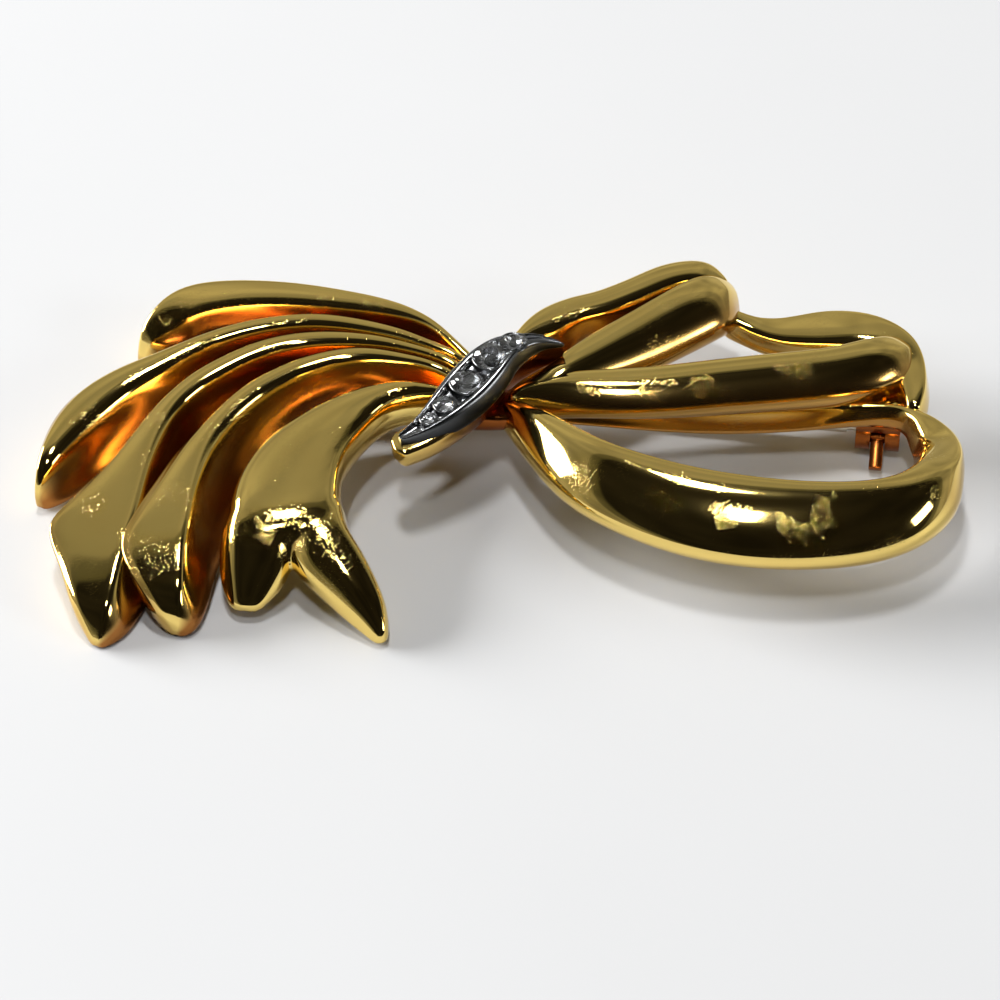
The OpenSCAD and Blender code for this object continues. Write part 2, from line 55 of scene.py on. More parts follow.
# Columns of a ribbon's table, a row for each section along its fold. x and y place the crest as
# shares of the bow's half length and half depth. top, foot_l, foot_r and base are heights as shares
# of the crest height; left and right are widths on each side of the crest as shares of the ribbon's
# width, and band_l and band_r the part of them that the crest's band takes. full is the flanks'
# form: below 0 they hollow into a groove, above 0 they bulge. On the back tails, below 0 it is also
# how much painted shade the groove takes.
X, Y, TOP, LEFT, RIGHT, BAND_L, BAND_R, FOOT_L, FOOT_R, BASE, FULL = range(11)

TAILS = {
    "tail_1": [
        (-.03, .32, .8, .13, .13, .06, .05, .54, .54, .47, 0),
        (-.093, .447, .9, .18, .18, .06, .06, .6, .6, .46, -.8),
        (-.15, .573, .93, .22, .18, .07, .08, .6, .6, .46, -1),
        (-.223, .673, .93, .28, .18, .15, .09, .6, .63, .46, -1),
        (-.317, .753, .9, .36, .2, .22, .1, .57, .61, .43, -1),
        (-.437, .84, .84, .44, .22, .29, .1, .53, .57, .39, -1),
        (-.55, .903, .76, .54, .22, .34, .1, .44, .51, .3, -.9),
        (-.647, .937, .67, .64, .2, .4, .1, .33, .43, .19, -.8),
        (-.71, .919, .6, .7, .18, .36, .1, .21, .33, .09, -.5),
        (-.753, .856, .52, .64, .16, .27, .08, .13, .21, .03, .2),
        (-.783, .766, .4, .4, .12, .16, .06, .09, .11, 0, .4),
        (-.793, .731, .16, .16, .06, .06, .03, .06, .06, 0, .4),
    ],
    "tail_2": [
        (-.027, .273, .8, .13, .13, .05, .05, .54, .54, .47, 0),
        (-.087, .367, .91, .16, .16, .06, .06, .61, .61, .46, -1),
        (-.15, .433, .93, .18, .18, .07, .07, .61, .61, .46, -1),
        (-.217, .507, .93, .2, .2, .09, .08, .6, .6, .46, -1),
        (-.303, .58, .9, .25, .22, .11, .09, .58, .59, .43, -1),
        (-.393, .627, .87, .3, .24, .12, .1, .54, .56, .4, -1),
        (-.48, .627, .84, .32, .26, .12, .1, .49, .53, .36, -1),
        (-.567, .6, .8, .38, .32, .13, .11, .42, .47, .3, -1),
        (-.653, .547, .74, .46, .38, .15, .11, .36, .38, .23, -1),
        (-.737, .464, .69, .58, .42, .2, .12, .28, .33, .17, -.8),
        (-.817, .377, .64, .7, .42, .26, .16, .2, .4, .11, -.8),
        (-.887, .246, .6, .74, .34, .3, .18, .15, .46, .07, -.8),
        (-.94, .08, .57, .6, .22, .26, .12, .11, .46, .04, -.7),
        (-.973, -.1, .5, .34, .1, .13, .06, .08, .38, .03, -.5),
        (-.987, -.17, .26, .08, .04, .03, .02, .05, .14, .02, -.2),
    ],
    "tail_3": [
        (-.03, .227, .8, .13, .13, .05, .05, .54, .54, .47, 0),
        (-.103, .327, .93, .16, .14, .06, .06, .61, .61, .46, -1),
        (-.213, .44, .91, .2, .19, .08, .08, .6, .6, .46, -1),
        (-.303, .493, .89, .24, .21, .11, .1, .57, .59, .43, -1),
        (-.407, .513, .86, .28, .24, .13, .12, .52, .54, .4, -1),
        (-.5, .48, .83, .34, .26, .14, .13, .46, .5, .36, -1),
        (-.577, .407, .79, .38, .27, .15, .14, .4, .44, .3, -1),
        (-.65, .307, .74, .42, .26, .15, .15, .34, .39, .26, -.8),
        (-.707, .16, .69, .46, .26, .13, .18, .26, .46, .2, -.8),
        (-.737, -.022, .65, .5, .34, .09, .28, .19, .56, .14, -.6),
        (-.753, -.216, .61, .5, .62, .05, .5, .13, .53, .1, -.5),
        (-.767, -.41, .57, .48, .92, .05, .8, .09, .5, .07, -.4),
        (-.78, -.549, .53, .46, 1.04, .05, .92, .07, .47, .04, -.3),
        (-.797, -.714, .46, .4, .74, .05, .62, .05, .38, .01, 0),
        (-.817, -.891, .33, .28, .42, .05, .32, .04, .24, 0, .4),
        (-.833, -.973, .08, .06, .08, .03, .05, .03, .03, 0, .4),
    ],
    "tail_4": [
        (-.033, .183, .8, .13, .13, .05, .05, .54, .54, .47, 0),
        (-.127, .287, .93, .14, .14, .06, .06, .61, .61, .46, -1),
        (-.213, .36, .91, .18, .19, .08, .08, .6, .6, .46, -1),
        (-.3, .4, .89, .3, .22, .11, .11, .57, .59, .43, -1),
        (-.387, .373, .86, .42, .25, .13, .13, .5, .54, .4, -1),
        (-.463, .307, .83, .5, .27, .14, .14, .44, .5, .36, -1),
        (-.537, .2, .79, .54, .26, .15, .15, .37, .43, .3, -.8),
        (-.59, .067, .74, .56, .28, .14, .16, .31, .47, .24, -.8),
        (-.627, -.092, .7, .58, .34, .11, .22, .25, .6, .19, -.6),
        (-.643, -.29, .66, .54, .54, .05, .38, .2, .58, .13, -.5),
        (-.653, -.477, .62, .46, .74, .04, .56, .15, .55, .09, -.4),
        (-.66, -.624, .57, .4, .82, .04, .64, .11, .5, .06, -.2),
        (-.663, -.781, .47, .34, .54, .04, .4, .08, .38, .03, 0),
        (-.667, -.882, .28, .24, .26, .04, .18, .07, .2, .01, .4),
        (-.67, -.907, .08, .06, .06, .02, .03, .04, .04, .01, .4),
    ],
    # The front tail is one broad ribbon whose end parts into two lobes
    "tail_5": [
        (-.063, .163, .8, .14, .14, .05, .05, .54, .54, .47, 0),
        (-.18, .193, .89, .22, .2, .08, .08, .63, .63, .46, .3),
        (-.257, .16, .87, .3, .28, .16, .16, .61, .61, .43, .4),
        (-.323, .073, .84, .42, .42, .28, .28, .6, .57, .39, .5),
        (-.38, -.047, .83, .52, .55, .38, .38, .59, .53, .34, .5),
        (-.417, -.187, .81, .58, .68, .46, .54, .59, .49, .3, .5),
        (-.437, -.333, .79, .66, .78, .52, .62, .57, .43, .27, .5),
        (-.44, -.487, .76, .7, .8, .54, .62, .5, .37, .23, .6),
        (-.437, -.591, .68, .72, .7, .5, .5, .4, .29, .19, .6),
        (-.433, -.627, .49, .6, .56, .36, .36, .3, .25, .17, .6),
    ],
    "tail_5_left": [
        (-.487, -.4, .75, .44, .44, .3, .3, .54, .44, .22, .7),
        (-.503, -.536, .715, .5, .5, .3, .28, .46, .36, .18, .7),
        (-.513, -.634, .6, .5, .46, .26, .24, .34, .26, .13, .7),
        (-.523, -.718, .4, .4, .36, .16, .16, .22, .17, .09, .7),
        (-.53, -.813, .17, .16, .16, .05, .05, .12, .12, .06, .6),
    ],
    "tail_5_right": [
        (-.38, -.4, .74, .36, .55, .25, .25, .46, .5, .22, .7),
        (-.353, -.559, .7, .28, .6, .18, .25, .37, .44, .19, .7),
        (-.32, -.676, .61, .28, .5, .2, .15, .27, .34, .14, .7),
        (-.29, -.773, .5, .28, .38, .18, .1, .19, .24, .09, .7),
        (-.26, -.866, .35, .22, .26, .13, .06, .13, .15, .04, .7),
        (-.237, -.967, .14, .06, .08, .03, .02, .06, .06, 0, .6),
    ],
}
# Each back loop is a front strand and a back strand, which meet at the loop's end
LOOPS = {
    "loop_1_front": [
        (.018, .16, .8, .12, .13, .05, .05, .57, .57, .47, 0),
        (.1, .227, .93, .16, .34, .1, .14, .77, .66, .46, .5),
        (.157, .32, .99, .17, .46, .12, .18, .83, .72, .5, .5),
        (.23, .447, 1, .18, .54, .13, .2, .86, .74, .54, .5),
        (.31, .573, 1.01, .18, .6, .13, .22, .86, .74, .55, .5),
        (.387, .693, 1.03, .18, .64, .13, .22, .86, .76, .55, .5),
        (.45, .787, 1, .22, .62, .16, .2, .79, .75, .54, .5),
        (.497, .84, .9, .22, .44, .14, .14, .69, .66, .43, .5),
        (.527, .86, .74, .12, .18, .05, .05, .6, .56, .44, .5),
    ],
    "loop_1_back": [
        (.507, .84, .84, .14, .14, .06, .05, .63, .63, .43, .5),
        (.463, .887, .96, .3, .23, .24, .18, .66, .66, .43, -.5),
        (.417, .893, .99, .3, .23, .24, .18, .66, .66, .43, -.5),
        (.36, .853, 1, .3, .23, .24, .18, .66, .66, .43, -.5),
        (.3, .78, .99, .3, .23, .24, .18, .66, .66, .43, -.5),
        (.223, .707, .96, .3, .23, .24, .18, .66, .66, .43, -.5),
        (.167, .68, .94, .3, .23, .24, .18, .64, .64, .43, -.5),
        (.1, .613, .91, .48, .23, .24, .18, .56, .61, .44, -.5),
        (.043, .507, .86, .44, .18, .09, .08, .54, .6, .46, -.5),
        (-.007, .35, .77, .3, .12, .05, .05, .52, .57, .47, 0),
    ],
    "loop_2_front": [
        (.017, .167, .83, .12, .13, .05, .05, .57, .57, .47, 0),
        (.117, .207, .93, .17, .36, .1, .1, .77, .7, .58, .5),
        (.22, .2, .97, .2, .44, .15, .13, .8, .77, .64, .5),
        (.337, .207, .99, .21, .48, .16, .14, .8, .8, .63, .5),
        (.47, .247, 1, .21, .5, .16, .15, .8, .79, .6, .5),
        (.603, .287, 1, .21, .52, .16, .15, .8, .78, .58, .5),
        (.72, .32, 1, .22, .52, .17, .15, .8, .77, .56, .5),
        (.803, .38, .99, .24, .52, .18, .15, .77, .76, .54, .5),
        (.863, .447, .91, .24, .42, .17, .12, .71, .7, .5, .5),
        (.9, .493, .77, .16, .2, .07, .06, .66, .6, .46, .5),
    ],
    "loop_2_back": [
        (.887, .115, .72, .14, .14, .06, .06, .56, .51, .43, .3),
        (.907, .225, .77, .3, .14, .22, .06, .62, .54, .43, .3),
        (.913, .366, .8, .44, .12, .36, .06, .66, .57, .43, -.6),
        (.897, .493, .845, .5, .14, .42, .06, .62, .6, .43, -.6),
        (.853, .587, .87, .54, .14, .46, .06, .5, .6, .43, -.6),
        (.787, .653, .86, .6, .14, .52, .06, .49, .6, .43, -.6),
        (.707, .687, .8, .58, .14, .5, .06, .48, .57, .43, -.6),
        (.627, .687, .71, .44, .14, .36, .06, .48, .54, .43, -.6),
        (.56, .713, .67, .28, .14, .2, .06, .48, .54, .43, -.6),
        (.5, .767, .71, .2, .14, .12, .05, .54, .54, .43, .3),
    ],
    # The front loop runs all the way round and back under the middle loop
    "loop_3": [
        (.01, .173, .74, .12, .12, .05, .06, .63, .57, .47, 0),
        (.077, .04, .87, .12, .34, .08, .1, .76, .6, .44, .2),
        (.15, -.11, .94, .12, .54, .08, .12, .86, .61, .42, .3),
        (.223, -.233, .99, .12, .7, .08, .15, .89, .62, .4, .4),
        (.317, -.327, 1, .12, .82, .08, .18, .9, .62, .39, .45),
        (.423, -.4, 1, .12, .9, .08, .2, .9, .62, .37, .45),
        (.537, -.45, 1, .12, .92, .08, .17, .9, .62, .37, .45),
        (.653, -.477, 1, .12, .86, .08, .15, .9, .62, .37, .45),
        (.763, -.473, 1, .14, .76, .08, .15, .86, .62, .37, .45),
        (.85, -.427, .97, .24, .62, .14, .15, .76, .61, .39, .45),
        (.915, -.345, .93, .38, .42, .26, .1, .62, .61, .4, .6),
        (.95, -.25, .87, .48, .22, .36, .12, .54, .61, .41, .4),
        (.962, -.145, .81, .5, .16, .38, .11, .48, .61, .42, .2),
        (.95, -.03, .74, .44, .15, .31, .1, .46, .6, .43, .1),
        (.915, .061, .73, .3, .14, .17, .08, .46, .57, .43, .1),
        (.873, .137, .69, .13, .16, .04, .04, .57, .54, .43, .2),
        (.793, .181, .655, .18, .2, .04, .04, .56, .54, .43, -.3),
        (.667, .193, .6, .16, .2, .03, .05, .4, .54, .36, -.3),
        (.5, .18, .59, .16, .2, .03, .05, .38, .54, .34, -.3),
        (.333, .18, .59, .16, .2, .03, .05, .42, .54, .38, -.3),
        (.167, .193, .6, .16, .22, .03, .05, .48, .54, .44, -.3),
        (.023, .18, .66, .13, .13, .06, .06, .56, .54, .47, .2),
    ],
}

# Columns of the knot's table, from its back tip to its front tip: at_x and at_y as shares of half
# the knot, broad of the plate's width, face of the plate's height, thick of its thickness, lip of
# the gold's overhang, depth of the gold under the plate, and how deep the gold lies in the shade
AT_X, AT_Y, BROAD, FACE, THICK, LIP, DEPTH, SHADE = range(8)
KNOT = [
    (.970, .868, .04, .935, .15, 0, .9, 1),
    (.706, .900, .26, .975, .45, -.4, 1.8, 1),
    (.450, .825, .50, 1.000, .80, -.9, 2.2, 1),
    (.230, .700, .78, 1.000, .95, -1.2, 2.4, 1),
    (.028, .495, .98, .965, 1.00, -1.3, 2.5, 1),
    (-.193, .240, 1.00, .910, 1.00, -.9, 2.2, 1),
    (-.413, -.020, .82, .868, .95, .3, 1.7, .7),
    (-.660, -.240, .54, .812, .80, 1.4, 1.5, .4),
    (-.880, -.375, .28, .765, .60, 2.2, 1.4, .3),
    (-.960, -.410, .16, .752, .50, 2.8, 1.3, .2),
]
# The gold's rounded end, beyond the plate's front tip
CURL = (-1.05, -.436, .04, .735, .45, 1.1, .7, .2)
# The stones: where each is, counted along the knot's rows, its diameter as a share of the largest,
# and the degrees that its table leans to the front
STONES = [(2.36, .80, -4), (3.66, 1, 16), (4.92, .98, 6), (6.08, .62, 10), (6.86, .42, 0)]
# Where the beads that hold the stones stand, counted along the knot's rows
GRAINS = (1.75, 2.98, 4.28, 5.56, 6.5, 7.25)
# The gold under the plate, half of its section: shares of its half width and of its depth
BASE_PROFILE = [(0, 0), (.7, 0), (1, .08), (1, .55), (.85, .9), (.45, 1), (0, 1)]
# The plate's raised rim, from inside to outside: shares of the rim's width beyond the plate's edge,
# shares of the middle's sinking above that edge, and how deep in the shade
RIM_PROFILE = [(-1, -1, 0), (-.92, -.2, 0), (-.7, .15, 0), (-.3, .1, 0), (0, -.9, .7)]
# The plate's flared side below the rim: how far out, as a share of the rim's width, and how far
# down, as shares of the plate's depth
SIDE_FLARE, SIDE_DOWN = .3, (.6, 1)
# The plate's depth as a share of its thickness, its rim's width and its middle's sinking, then the
# most that the last two take of the plate's half width, and the sinking of the plate's depth
PLATE_DEPTH, RIM_WIDTH, PLATE_SINK = 1.9, .85 * MM, .34 * MM
RIM_MOST, SINK_MOST = .48, .5
# The largest stone's rings from its point to its table: radii of the even and the odd corners, then
# their heights, as shares of its diameter
CUT = [(.04, .04, -.25, -.25), (.30, .26, -.12, -.14), (.5, .49, -.02, -.02),
       (.5, .49, .015, .015), (.38, .36, .085, .10), (.28, .259, .15, .15)]
CUT_CORNERS = 16
# Faces that look down more steeply than this are foiled
FOIL_NORMAL = -.3
# The collar round a stone: its sinking as a share of the stone, its gap and the radius of its wire
SEAT_SINK, SEAT_GAP, SEAT_WIRE = .05, .05 * MM, .09 * MM
# The beads: radius, sinking and distance from the middle as a share of the plate's half width
GRAIN_RADIUS, GRAIN_SINK, GRAIN_OUT = .19 * MM, .14 * MM, .55
# The solid middle behind the knot: each post's place as shares of half the knot and its radius as a
# share of the plate's width, then the posts' thickness and the height of their middle
CORE_POSTS = [(-.24, .385, .36), (.165, .42, .39), (-.09, .955, .37)]
CORE_THICK, CORE_HEIGHT = 1.8 * MM, 3.95 * MM

# The tail and the two lobes that its end parts into, then the cell and the rounds of smoothing of
# the skin that makes them one
FRONT_TAIL = ("tail_5", "tail_5_left", "tail_5_right")
SKIN_CELL, SKIN_ROUNDS = .14 * MM, 14
# The pin's line behind the bow: its turn, the catch's place as shares of half the length and half
# the depth, the distance back to the hinge as a share of the length, and the pads of both in mm
PIN_TURN = math.radians(7)
CATCH_X, CATCH_Y = .825, .243
PIN_LENGTH = .52
HINGE_PAD = (2.6, 2.92)
CATCH_PAD = (3.27, 2.9)
# The pads' lower and upper faces as shares of the crest height, and the rounding of their edges
PAD_LOW, PAD_HIGH, PAD_EDGE = .43, .60, .15 * MM
# The findings that are rounded copies of their solids: node, name, body and rounding of the edges
FINDINGS = [
    ("pin_hinge", "hinge", "brooch", .09 * MM),
    ("pin_catch", "catch", "brooch", .12 * MM),
    ("catch_lever", "lever", "lever", .08 * MM),
]

# The height of the marks on the metals
RELIEF = .004 * MM

# The stage: the floor and how far it lies below the brooch, the camera's aim, then its distance and
# sensor in mm and its lens as a multiple of the sensor
FLOOR_SIZE, FLOOR_DROP = 3, .03 * MM
CAMERA_AIM = Vector((.1, -1.5, 0)) * MM
CAMERA_AWAY, CAMERA_SENSOR, CAMERA_LENS = 260, 36, 4.03
# The lamps, which all point at the origin: place and size in metres, power in watts
LAMPS = [
    ("ceiling", (-.04, .14, .60), (.06, .10), 1.5),
    ("front lamp", (-.04, -.17, .60), (.035, .09), .9),
    ("left window", (-.85, .30, .36), (.7, .32), 20),
    ("right window", (.80, -.30, .36), (.26, .16), 1.6),
]
# The room is dark on this side. Its tones go from 0, away from there, to 1, towards it
DARK_SIDE = (.2, -.6, .77)
ROOM = [
    (.0, (.33, .32, .28)), (.58, (.33, .32, .28)), (.60, (.25, .245, .225)),
    (.70, (.23, .225, .20)), (.71, (.10, .10, .09)), (.745, (.07, .07, .055)),
    (.76, (.012, .011, .010)), (1, (.010, .009, .008)),
]


class BowSizes(bpy.types.PropertyGroup):
    """The bow's own measures"""

    length: bpy.props.FloatProperty(
        name="Length", description="From the outermost tail tip to the front loop's end",
        default=60 * MM, unit="LENGTH")
    depth: bpy.props.FloatProperty(
        name="Depth", description="From the back tail to the front tails' tips",
        default=30 * MM, unit="LENGTH")
    crest: bpy.props.FloatProperty(
        name="Crest height", description="Height of the folds' crests",
        default=7 * MM, unit="LENGTH")
    tail_width: bpy.props.FloatProperty(
        name="Tail width", description="Width that the tails' tables give shares of",
        default=5 * MM, unit="LENGTH")
    loop_width: bpy.props.FloatProperty(
        name="Loop width", description="Width that the loops' tables give shares of",
        default=5 * MM, unit="LENGTH")
    hollow: bpy.props.FloatProperty(
        name="Back hollow", description="Depth of the hollow along each ribbon's back",
        default=.5 * MM, unit="LENGTH")


class KnotSizes(bpy.types.PropertyGroup):
    """The knot's and the stones' measures"""

    length: bpy.props.FloatProperty(
        name="Length", description="Length of the knot along the bow",
        default=10.9 * MM, unit="LENGTH")
    middle: bpy.props.FloatProperty(
        name="Middle", description="Place of the knot's middle along the bow",
        default=-1.05 * MM, unit="LENGTH")
    plate_width: bpy.props.FloatProperty(
        name="Plate width", description="Width of the set plate's upper face at its broadest",
        default=3.2 * MM, unit="LENGTH")
    face: bpy.props.FloatProperty(
        name="Face height", description="Height of the plate's upper face",
        default=8.5 * MM, unit="LENGTH")
    plate_thick: bpy.props.FloatProperty(
        name="Plate thickness", description="Thickness of the set plate",
        default=.9 * MM, unit="LENGTH")
    lip: bpy.props.FloatProperty(
        name="Gold lip", description="How far the gold knot stands out round the plate",
        default=.3 * MM, unit="LENGTH")
    base: bpy.props.FloatProperty(
        name="Gold height", description="Height of the gold knot under the plate's ends",
        default=1.2 * MM, unit="LENGTH")
    stone: bpy.props.FloatProperty(
        name="Stone", description="Diameter of the largest stone",
        default=2.1 * MM, unit="LENGTH")


class Finishes(bpy.types.PropertyGroup):
    """Colours of the brooch's finishes, and the gold's painted shade"""

    gold: bpy.props.FloatVectorProperty(
        name="Gold", description="Polished gold tone", subtype="COLOR",
        default=(.93, .69, .21))
    gold_warm: bpy.props.FloatVectorProperty(
        name="Warm gold", description="Tone that the gold drifts to in patches", subtype="COLOR",
        default=(.90, .60, .15))
    # Painted shade: the dark red-brown that the gold's grooves, shaded flanks, core and findings
    # are painted towards
    gold_shade: bpy.props.FloatVectorProperty(
        name="Deep gold", description="Gold tone deep in the grooves", subtype="COLOR",
        default=(.29, .085, .018))
    plate: bpy.props.FloatVectorProperty(
        name="Plate", description="Polished dark grey of the set plate", subtype="COLOR",
        default=(.19, .195, .20))
    pin: bpy.props.FloatVectorProperty(
        name="Pin", description="Bright wire of the pin", subtype="COLOR",
        default=(.72, .66, .55))
    floor: bpy.props.FloatVectorProperty(
        name="Floor", description="Pale floor", subtype="COLOR",
        default=(.585, .59, .60))


def sizes():
    return bpy.context.scene.bow_sizes


def knot():
    return bpy.context.scene.knot_sizes


def finishes():
    return bpy.context.scene.finishes


def catch_middle():
    return Vector((CATCH_X * sizes().length / 2, CATCH_Y * sizes().depth / 2, 0))


# Modelling

def begin():
    """Leaves nothing selected, so that the next operator acts on its own piece alone."""
    if bpy.context.mode != "OBJECT":
        bpy.ops.object.mode_set(mode="OBJECT")
    bpy.ops.object.select_all(action="DESELECT")


def choose(*objects):
    """Selects these objects alone, with the first one active."""
    begin()
    for chosen in objects:
        chosen.select_set(True)
    bpy.context.view_layer.objects.active = objects[0]


def extrude_rings(name, rings):
    """A closed skin: a disc, extruded ring by ring, each ring's points then moved to their places.

    A point is x, y, z and, where it takes painted shade, how much of it, from 0 to 1.
    """
    begin()
    bpy.ops.mesh.primitive_circle_add(vertices=len(rings[0]), radius=MM, fill_type="NGON")
    piece = bpy.context.object
    piece.name = piece.data.name = name
    bpy.ops.object.mode_set(mode="EDIT")
    mesh = bmesh.from_edit_mesh(piece.data)
    groove = mesh.verts.layers.float.new("groove")
    mesh.faces.ensure_lookup_table()
    corners = list(mesh.faces[0].verts)
    for count, ring in enumerate(rings):
        if count:
            bpy.ops.mesh.extrude_region_move()
            mesh = bmesh.from_edit_mesh(piece.data)
            groove = mesh.verts.layers.float["groove"]
            new = [v for v in mesh.verts if v.select]
            corners = [min(new, key=lambda v: (v.co - place).length_squared) for place in places]
        places = [Vector(point[:3]) for point in ring]
        for corner, place, point in zip(corners, places, ring):
            corner.co = place
            corner[groove] = point[3] if len(point) > 3 else 0
    bmesh.update_edit_mesh(piece.data)
    bpy.ops.mesh.select_all(action="SELECT")
    bpy.ops.mesh.normals_make_consistent(inside=False)
    bpy.ops.object.mode_set(mode="OBJECT")
    return piece


def subdivide(piece, levels):
    choose(piece)
    smoother = piece.modifiers.new("Rounding", "SUBSURF")
    smoother.levels = smoother.render_levels = levels
    bpy.ops.object.modifier_apply(modifier=smoother.name)
    return piece


def bevel(piece, width, angle=35):
    """Rounds the edges that turn by more than the angle."""
    choose(piece)
    edge = piece.modifiers.new("Edges", "BEVEL")
    edge.width = width
    edge.segments = 2
    edge.limit_method = "ANGLE"
    edge.angle_limit = math.radians(angle)
    bpy.ops.object.modifier_apply(modifier=edge.name)
    return piece


def applied():
    """The active object, with its place, turn and size applied to its mesh."""
    bpy.ops.object.transform_apply(location=True, rotation=True, scale=True)
    return bpy.context.object


def placed_copy(piece, name, place, size=1):
    """A copy with a mesh of its own, scaled and moved to its place."""
    choose(piece)
    bpy.ops.object.duplicate()
    twin = bpy.context.object
    twin.name = twin.data.name = name
    twin.scale = (size, size, size)
    twin.location = place
    return applied()


def join(name, pieces):
    """Joins pieces to one object of that name."""
    choose(*pieces)
    bpy.ops.object.join()
    whole = bpy.context.object
    whole.name = whole.data.name = name
    return whole


def smooth(piece, angle):
    choose(piece)
    bpy.ops.object.shade_smooth_by_angle(angle=math.radians(angle))
    return piece


def blend(piece, cell, rounds):
    """Makes one even skin of pieces that run into one another, and rounds where they meet."""
    choose(piece)
    skin = piece.modifiers.new("Skin", "REMESH")
    skin.mode = "VOXEL"
    skin.voxel_size = cell
    bpy.ops.object.modifier_apply(modifier=skin.name)
    even = piece.modifiers.new("Even", "SMOOTH")
    even.factor = .5
    even.iterations = rounds
    bpy.ops.object.modifier_apply(modifier=even.name)
    return piece


def paint_shade(piece, depth):
    """Gives a whole piece that much painted shade."""
    marks = piece.data.attributes
    groove = marks.get("groove") or marks.new("groove", "FLOAT", "POINT")
    for point in groove.data:
        point.value = depth
    return piece


def dress(piece, material):
    piece.data.materials.clear()
    piece.data.materials.append(material)
    return piece


# Curves through the tables

def between(a, b, c, d, t):
    """A point from row b to c, at share t, on a smooth curve through a, b, c and d."""
    return tuple(
        .5 * (2 * q + (r - p) * t + (2 * p - 5 * q + 4 * r - s) * t * t
              + (3 * q - p - 3 * r + s) * t ** 3)
        for p, q, r, s in zip(a, b, c, d))


def along(rows, k):
    """The row at place k of a table, between two rows where k isn't whole."""
    i = min(int(k), len(rows) - 2)
    at = [rows[max(0, min(len(rows) - 1, i + step))] for step in (-1, 0, 1, 2)]
    return between(*at, k - i)


def smooth_rows(rows, steps):
    return [along(rows, i / steps) for i in range((len(rows) - 1) * steps + 1)]


# How much painted shade a ribbon's sides take for the others' shade: from which row, on the left,
# on the right.
# Where a ribbon isn't named here, it is one of the back tails, with grooves between them
SHADED = {
    "tail_5": (0, .6, .6), "tail_5_left": (0, .6, .6), "tail_5_right": (0, .6, .6),
    "loop_1_front": (0, .4, .6), "loop_1_back": (0, .8, .3),
    "loop_2_front": (0, .4, .6), "loop_2_back": (0, .5, .2), "loop_3": (10, .75, .3),
}
BACK_TAILS_SHADE = (0, .9, .4)
# How soon on the way down a flank the grooves' painted shade and the others' painted shade are full
GROOVE_RATE, SHADE_RATE = 2.2, 2

# A flank's points as shares of the way out to the foot and of the way down to it
STRAIGHT = [(.33, .33), (.67, .67), (1, 1)]
HOLLOW = [(.08, .38), (.36, .80), (1, 1)]
BULGE = [(.42, .12), (.78, .44), (1, 1)]
# How far the crest's band falls to its edges, as a share of its width
BAND_FALL = .07
# The underside's outer and inner points as shares of the half width, and how far up to the foot the
# outer ones lie
UNDER_OUT, UNDER_IN, UNDER_UP = .9, .7, .35
# The most that the back is hollowed, as shares of the ribbon's height and width
BACK_OF_HEIGHT, BACK_OF_WIDTH = .25, .12
# Steps from one row of a ribbon's table to the next
RIBBON_STEPS = 2


def flank(a0, a1, z0, z1, full, shade, groove):
    """Points from the band's edge (a0, z0) out to the foot (a1, z1), with how much painted shade.
    """
    points = []
    for plain, formed in zip(STRAIGHT, HOLLOW if full < 0 else BULGE):
        out, down = (p + (f - p) * abs(full) for p, f in zip(plain, formed))
        # Painted shade: in the back tails' grooves as deep as they hollow, and down the flanks in
        # the others' shade
        deep = max(-full * groove * min(1, GROOVE_RATE * down), shade * min(1, SHADE_RATE * down))
        points.append((a0 + (a1 - a0) * out, z0 + (z1 - z0) * down, deep))
    return points


def ribbon_section(row, width, shade_l, shade_r, groove):
    """The distance to the left of the crest, the height and the painted shade of each point."""
    high = sizes().crest
    top, base = row[TOP] * high, row[BASE] * high
    left, right = row[LEFT] * width, row[RIGHT] * width
    band_l, band_r = row[BAND_L] * width, row[BAND_R] * width
    low_l, low_r = row[FOOT_L] * high, row[FOOT_R] * high
    edge_l, edge_r = top - BAND_FALL * band_l, top - BAND_FALL * band_r
    under_l, under_r = base + UNDER_UP * (low_l - base), base + UNDER_UP * (low_r - base)
    hollow = min(sizes().hollow, BACK_OF_HEIGHT * (top - base), BACK_OF_WIDTH * (left + right))
    return (
        [(0, top, 0), (band_l, edge_l, 0)]
        + flank(band_l, left, edge_l, low_l, row[FULL], shade_l, groove)
        + [(UNDER_OUT * left, under_l, shade_l), (UNDER_IN * left, base, shade_l),
           ((left - right) / 2, base + hollow, shade_l),
           (-UNDER_IN * right, base, shade_r), (-UNDER_OUT * right, under_r, shade_r)]
        + flank(-band_r, -right, edge_r, low_r, row[FULL], shade_r, groove)[::-1]
        + [(-band_r, edge_r, 0)])


def ribbon(name, rows, width):
    """A ribbon along its table, with its sections square to its crest."""
    half_l, half_d = sizes().length / 2, sizes().depth / 2
    path = smooth_rows(rows, RIBBON_STEPS)
    shade_from, *shades = SHADED.get(name, BACK_TAILS_SHADE)
    groove = 0 if name in SHADED else 1
    rings = []
    for i, row in enumerate(path):
        before, after = path[max(i - 1, 0)], path[min(i + 1, len(path) - 1)]
        run = Vector(((after[X] - before[X]) * half_l, (after[Y] - before[Y]) * half_d))
        run.normalize()
        shade_l, shade_r = shades if i >= shade_from * RIBBON_STEPS else (0, 0)
        rings.append([
            (row[X] * half_l - side * run.y, row[Y] * half_d + side * run.x, height, depth)
            for side, height, depth in ribbon_section(row, width, shade_l, shade_r, groove)])
    return subdivide(extrude_rings(name, rings), 2)


def knot_place(row):
    half = knot().length / 2
    return Vector((knot().middle + row[AT_X] * half, row[AT_Y] * half, row[FACE] * knot().face))


